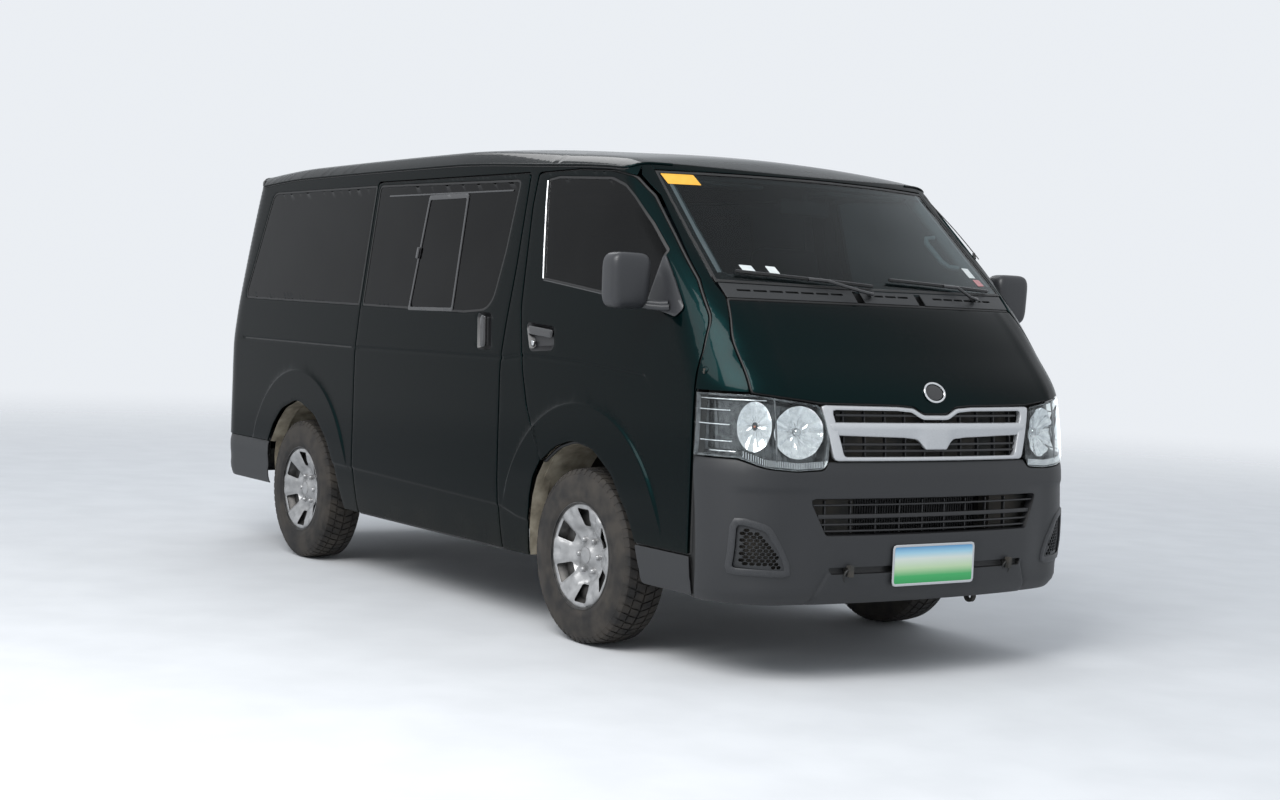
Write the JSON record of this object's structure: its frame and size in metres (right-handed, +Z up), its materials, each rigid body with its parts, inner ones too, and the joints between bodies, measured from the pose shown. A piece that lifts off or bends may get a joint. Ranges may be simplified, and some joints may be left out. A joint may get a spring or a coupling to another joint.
{
  "type": "passenger van",
  "caption": "One-box passenger van with hinged front doors, bonnet and tailgate, a sliding side door, steered front wheels and rows of bench seats.",
  "frame": {"origin": "on the ground, below the middle of the van's length and width", "axes": "+X forward along the van, +Y to its left, +Z up"},
  "size_m": [4.695, 2.06, 1.9798],
  "materials": {
    "body_paint": "gloss metallic",
    "dark_glass": "gloss",
    "clear_glass": "gloss",
    "black_plastic": "satin",
    "grey_plastic": "grained",
    "lamp_lens": "gloss",
    "red_lens": "gloss",
    "silver_trim": "silver paint",
    "dark_metal": "satin",
    "cast_metal": "rough",
    "seat_cloth": "woven",
    "tyre": "matt",
    "wheel_silver": "silver paint"
  },
  "bodies": {
    "van_body": {"bumper_front": "grey_plastic", "bumper_rear": "grey_plastic", "cowl": "black_plastic", "dashboard": "grey_plastic", "engine_block": "cast_metal", "exhaust": "dark_metal", "floor_pan": "dark_metal", "front_panel": "dark_metal", "front_seats": "seat_cloth", "front_suspension": "dark_metal", "fuel_tank": "dark_metal", "grille": "silver_trim", "headlamps": "lamp_lens", "leaf_springs": "dark_metal", "rear_axle": "dark_metal", "rear_benches": "seat_cloth", "rockers": "grey_plastic", "roof_panel": "body_paint", "side_glass": "dark_glass", "side_wall_left": "body_paint", "side_wall_right": "body_paint", "sliding_door": "body_paint", "sliding_door_glass": "dark_glass", "steering_wheel": "grey_plastic", "tail_lamps": "red_lens", "underframe": "dark_metal", "wheel_housings": "black_plastic", "windscreen": "clear_glass"},
    "bonnet": {"bonnet": "body_paint"},
    "tailgate": {"tailgate": "body_paint", "tailgate_glass": "dark_glass"},
    "door_left": {"door_front_left": "body_paint", "door_glass_left": "dark_glass", "mirror_left": "grey_plastic"},
    "door_right": {"door_front_right": "body_paint", "door_glass_right": "dark_glass", "mirror_right": "grey_plastic"},
    "knuckle_left": {"knuckle_left": "dark_metal"},
    "knuckle_right": {"knuckle_right": "dark_metal"},
    "wheel_fl": {"tyre_fl": "tyre", "rim_fl": "wheel_silver"},
    "wheel_fr": {"tyre_fr": "tyre", "rim_fr": "wheel_silver"},
    "wheel_rl": {"tyre_rl": "tyre", "rim_rl": "wheel_silver"},
    "wheel_rr": {"tyre_rr": "tyre", "rim_rr": "wheel_silver"}
  },
  "joints": [
    {"name": "bonnet_hinge", "type": "hinge", "parent": "van_body", "child": "bonnet", "pos_m": [1.975, 0, 1.372], "axis": [0, -1, 0], "range_deg": [0, 45]},
    {"name": "tailgate_hinge", "type": "hinge", "parent": "van_body", "child": "tailgate", "pos_m": [-2.184, 0, 1.886], "axis": [0, 1, 0], "range_deg": [0, 85]},
    {"name": "door_left_hinge", "type": "hinge", "parent": "van_body", "child": "door_left", "pos_m": [2.03, 0.826, 0.85], "axis": [0, 0, -1], "range_deg": [0, 65]},
    {"name": "door_right_hinge", "type": "hinge", "parent": "van_body", "child": "door_right", "pos_m": [2.03, -0.826, 0.85], "axis": [0, 0, 1], "range_deg": [0, 65]},
    {"name": "steer_left", "type": "hinge", "parent": "van_body", "child": "knuckle_left", "pos_m": [1.2725, 0.655, 0.338], "axis": [0, 0, 1], "range_deg": [-32, 32]},
    {"name": "steer_right", "type": "hinge", "parent": "van_body", "child": "knuckle_right", "pos_m": [1.2725, -0.655, 0.338], "axis": [0, 0, 1], "range_deg": [-32, 32]},
    {"name": "wheel_fl_spin", "type": "hinge", "parent": "knuckle_left", "child": "wheel_fl", "pos_m": [1.2725, 0.735, 0.338], "axis": [0, 1, 0], "continuous": true},
    {"name": "wheel_fr_spin", "type": "hinge", "parent": "knuckle_right", "child": "wheel_fr", "pos_m": [1.2725, -0.735, 0.338], "axis": [0, 1, 0], "continuous": true},
    {"name": "wheel_rl_spin", "type": "hinge", "parent": "van_body", "child": "wheel_rl", "pos_m": [-1.2975, 0.732, 0.338], "axis": [0, 1, 0], "continuous": true},
    {"name": "wheel_rr_spin", "type": "hinge", "parent": "van_body", "child": "wheel_rr", "pos_m": [-1.2975, -0.732, 0.338], "axis": [0, 1, 0], "continuous": true}
  ],
  "couplings": [
    {"joint": "steer_right", "follows": "steer_left", "ratio": 1}
  ]
}
